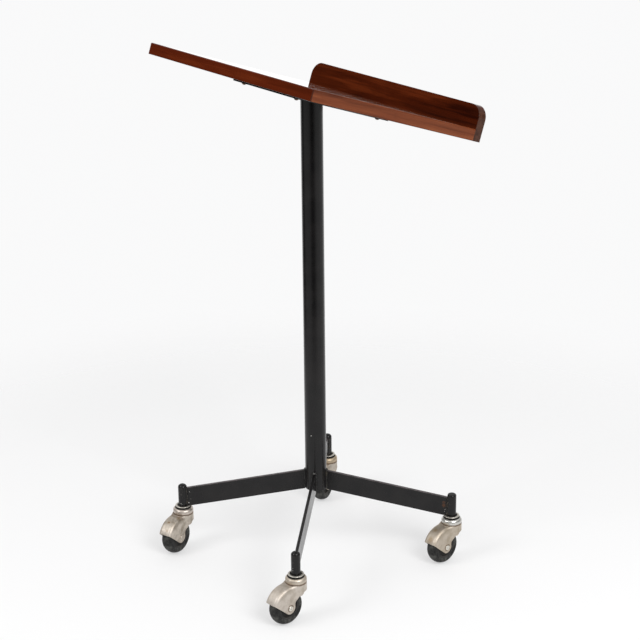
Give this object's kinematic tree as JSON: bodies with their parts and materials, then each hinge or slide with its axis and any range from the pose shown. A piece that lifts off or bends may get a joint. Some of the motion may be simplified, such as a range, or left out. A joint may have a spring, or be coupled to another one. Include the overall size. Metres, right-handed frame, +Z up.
{
  "type": "lectern stand",
  "caption": "Rolling lectern stand: sloping wooden reading board with a book ledge, on a black steel tube post with sloping flat-bar legs and hooded swivel casters.",
  "frame": {"origin": "on the floor, at the middle of the object's outline: under the middle of the board's width", "axes": "+Z up; X across the board, +X to the right as seen from the audience's side; the audience's side faces -Y and the reader stands at +Y, where the board is lowest"},
  "size_m": [0.5, 0.4858, 1.0322],
  "materials": {
    "panel_veneer": "satin lacquered veneer, grain across the board",
    "band_wood": "satin lacquered hardwood, grain along each band",
    "ledge_wood": "satin lacquered hardwood, dark streaked grain",
    "dowel_wood": "raw beech",
    "black_paint": "worn satin black paint with small chips and rust",
    "screw_steel": "darkened steel",
    "nickel": "aged nickel plate, dull with brown grime in the seams",
    "stem_steel": "plated steel",
    "ball_steel": "polished",
    "wheel_core": "moulded, dull",
    "tyre_rubber": "dusty black rubber"
  },
  "bodies": {
    "root": {"reading_panel": "panel_veneer", "high_edge_band": "band_wood", "low_edge_band": "band_wood", "left_edge_band": "band_wood", "right_edge_band": "band_wood", "book_ledge": "ledge_wood", "ledge_dowels": "dowel_wood", "support_plate": "black_paint", "plate_screws": "screw_steel", "post": "black_paint", "post_foot_disc": "black_paint", "post_welds": "black_paint", "socket_welds": "black_paint", "leg_front_left": "black_paint", "socket_front_left": "black_paint", "stem_front_left": "stem_steel", "washer_front_left": "nickel", "raceway_cap_front_left": "nickel", "leg_front_right": "black_paint", "socket_front_right": "black_paint", "stem_front_right": "stem_steel", "washer_front_right": "nickel", "raceway_cap_front_right": "nickel", "leg_back_right": "black_paint", "socket_back_right": "black_paint", "stem_back_right": "stem_steel", "washer_back_right": "nickel", "raceway_cap_back_right": "nickel", "leg_back_left": "black_paint", "socket_back_left": "black_paint", "stem_back_left": "stem_steel", "washer_back_left": "nickel", "raceway_cap_back_left": "nickel"},
    "swivel_front_left": {"balls_front_left": "ball_steel", "hood_front_left": "nickel", "axle_front_left": "nickel"},
    "wheel_front_left": {"wheel_hub_front_left": "wheel_core", "tyre_front_left": "tyre_rubber"},
    "swivel_front_right": {"balls_front_right": "ball_steel", "hood_front_right": "nickel", "axle_front_right": "nickel"},
    "wheel_front_right": {"wheel_hub_front_right": "wheel_core", "tyre_front_right": "tyre_rubber"},
    "swivel_back_right": {"balls_back_right": "ball_steel", "hood_back_right": "nickel", "axle_back_right": "nickel"},
    "wheel_back_right": {"wheel_hub_back_right": "wheel_core", "tyre_back_right": "tyre_rubber"},
    "swivel_back_left": {"balls_back_left": "ball_steel", "hood_back_left": "nickel", "axle_back_left": "nickel"},
    "wheel_back_left": {"wheel_hub_back_left": "wheel_core", "tyre_back_left": "tyre_rubber"}
  },
  "joints": [
    {"name": "swivel_turn_front_left", "type": "hinge", "parent": "root", "child": "swivel_front_left", "pos_m": [-0.18264, -0.17738, 0.08], "axis": [0, 0, 1], "continuous": true},
    {"name": "wheel_roll_front_left", "type": "hinge", "parent": "swivel_front_left", "child": "wheel_front_left", "pos_m": [-0.17369, -0.20338, 0.035], "axis": [0.9455, 0.3256, 0], "continuous": true},
    {"name": "swivel_turn_front_right", "type": "hinge", "parent": "root", "child": "swivel_front_right", "pos_m": [0.19664, -0.17738, 0.08], "axis": [0, 0, 1], "continuous": true},
    {"name": "wheel_roll_front_right", "type": "hinge", "parent": "swivel_front_right", "child": "wheel_front_right", "pos_m": [0.19904, -0.20478, 0.035], "axis": [0.9962, 0.0872, 0], "continuous": true},
    {"name": "swivel_turn_back_right", "type": "hinge", "parent": "root", "child": "swivel_back_right", "pos_m": [0.19664, 0.21538, 0.08], "axis": [0, 0, 1], "continuous": true},
    {"name": "wheel_roll_back_right", "type": "hinge", "parent": "swivel_back_right", "child": "wheel_back_right", "pos_m": [0.19952, 0.18803, 0.035], "axis": [0.9945, 0.1045, 0], "continuous": true},
    {"name": "swivel_turn_back_left", "type": "hinge", "parent": "root", "child": "swivel_back_left", "pos_m": [-0.19266, 0.20519, 0.08], "axis": [0, 0, 1], "continuous": true},
    {"name": "wheel_roll_back_left", "type": "hinge", "parent": "swivel_back_left", "child": "wheel_back_left", "pos_m": [-0.17975, 0.1809, 0.035], "axis": [0.8829, 0.4695, 0], "continuous": true}
  ]
}
